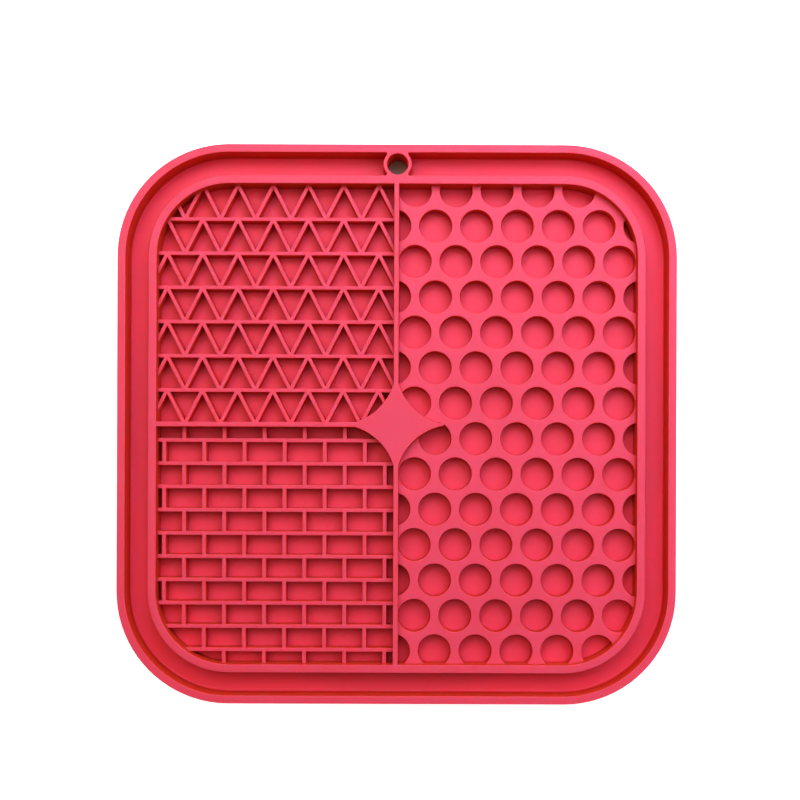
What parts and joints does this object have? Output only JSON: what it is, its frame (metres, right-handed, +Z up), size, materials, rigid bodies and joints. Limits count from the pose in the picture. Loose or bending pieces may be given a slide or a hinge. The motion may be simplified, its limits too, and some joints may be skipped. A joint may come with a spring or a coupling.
{
  "type": "lick mat",
  "caption": "Square silicone feeding mat with a double rim, a channel between the rims, patterned pockets for soft food, a star at the middle and a hanging hole",
  "frame": {"origin": "middle of the flat underside, on the surface that the mat lies on", "axes": "+Z is up, out of the patterned face; +Y points to the side with the hanging hole; +X completes a right-handed frame, towards the field of round pits"},
  "size_m": [0.2, 0.2, 0.01],
  "materials": {
    "silicone": "matte coral red moulded silicone"
  },
  "bodies": {
    "root": {"mat": "silicone"}
  },
  "joints": []
}
